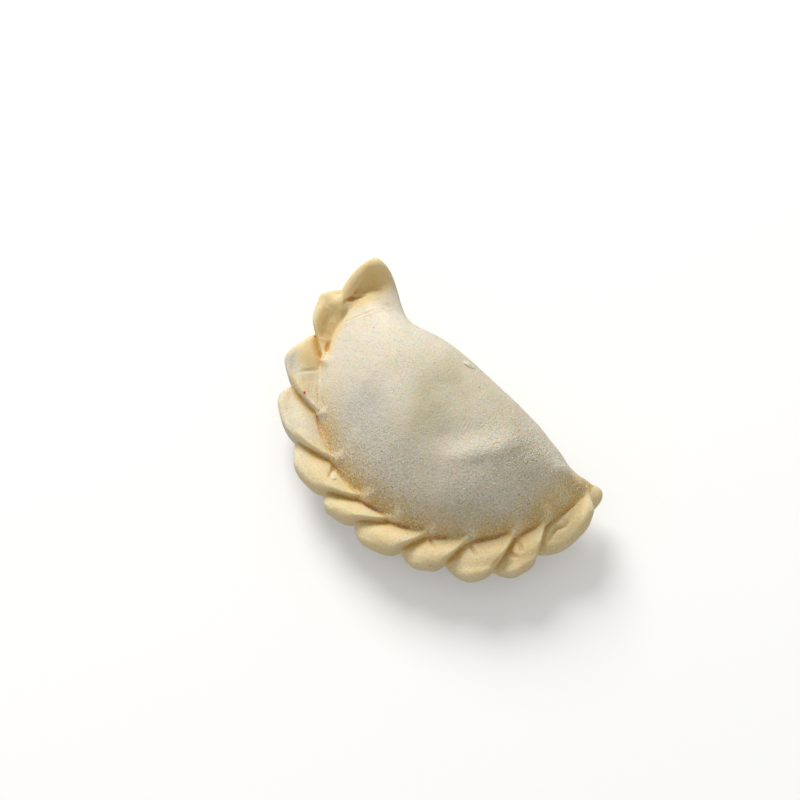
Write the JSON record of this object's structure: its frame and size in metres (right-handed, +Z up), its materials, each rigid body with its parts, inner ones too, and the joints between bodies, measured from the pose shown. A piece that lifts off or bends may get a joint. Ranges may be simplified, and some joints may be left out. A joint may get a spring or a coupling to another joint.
{
  "type": "pierogi dumpling",
  "caption": "Half-moon pierogi dumpling of raw floured dough, plump belly, rope-crimped rim of overlapping pleats and a pinched upturned corner",
  "frame": {"origin": "centre of the box in plan, at the surface that the dumpling lies on", "axes": "+X along the half-moon from the upturned horn (left, -X) to the small knob (right, +X), -Y towards the crimped curved rim, +Y towards the folded back edge, +Z up"},
  "size_m": [0.0826, 0.0475, 0.027],
  "materials": {
    "dough": "matte, dusted with flour"
  },
  "bodies": {
    "root": {"dumpling": "dough"}
  },
  "joints": []
}
